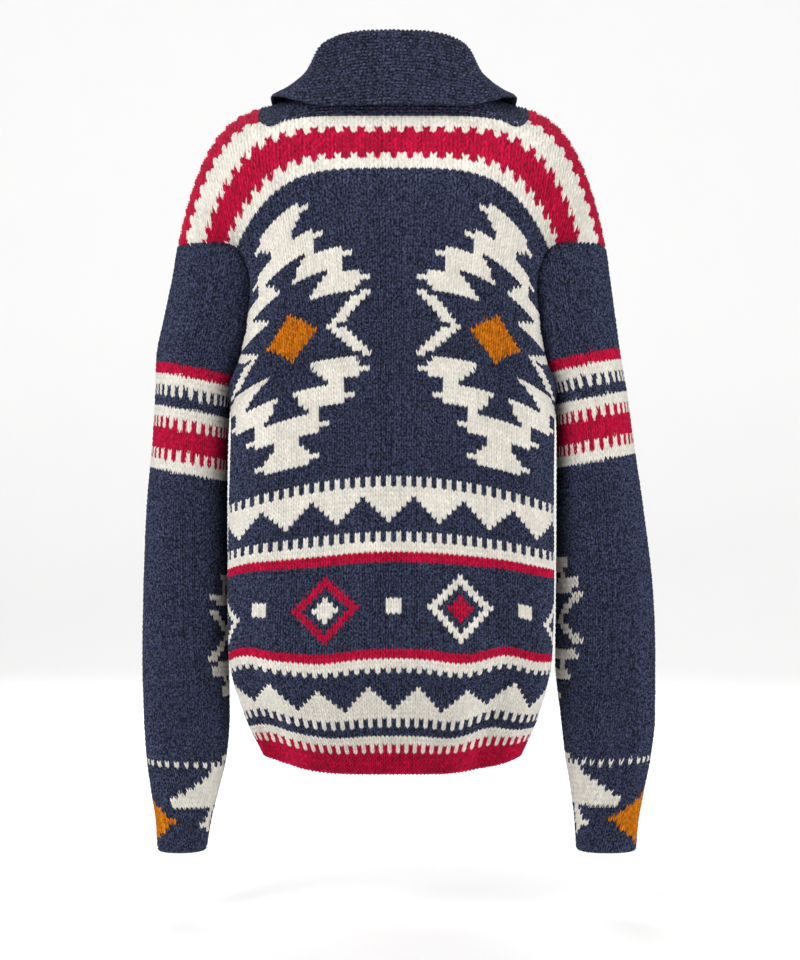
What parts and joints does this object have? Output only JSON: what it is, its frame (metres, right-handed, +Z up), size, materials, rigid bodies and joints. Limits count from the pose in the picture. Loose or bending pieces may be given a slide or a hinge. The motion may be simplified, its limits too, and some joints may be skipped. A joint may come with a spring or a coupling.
{
  "type": "cardigan",
  "caption": "Knitted cardigan with a wide shawl collar and geometric bands, standing hollow in the form it has when worn.",
  "frame": {"origin": "middle of the back-neck seam's height, inside the neck, where the wearer holds the garment", "axes": "+Z up, the fronts face -Y and the back +Y, the garment's left is +X"},
  "size_m": [0.5388, 0.2446, 0.8485],
  "materials": {
    "back_cloth": "matt wool knit",
    "front_left_cloth": "matt wool knit",
    "front_right_cloth": "matt wool knit",
    "sleeve_left_cloth": "matt wool knit",
    "sleeve_right_cloth": "matt wool knit",
    "collar_cloth": "matt wool knit"
  },
  "bodies": {
    "root": {"back": "back_cloth", "front_left": "front_left_cloth", "front_right": "front_right_cloth", "sleeve_left": "sleeve_left_cloth", "sleeve_right": "sleeve_right_cloth", "collar": "collar_cloth"}
  },
  "joints": []
}
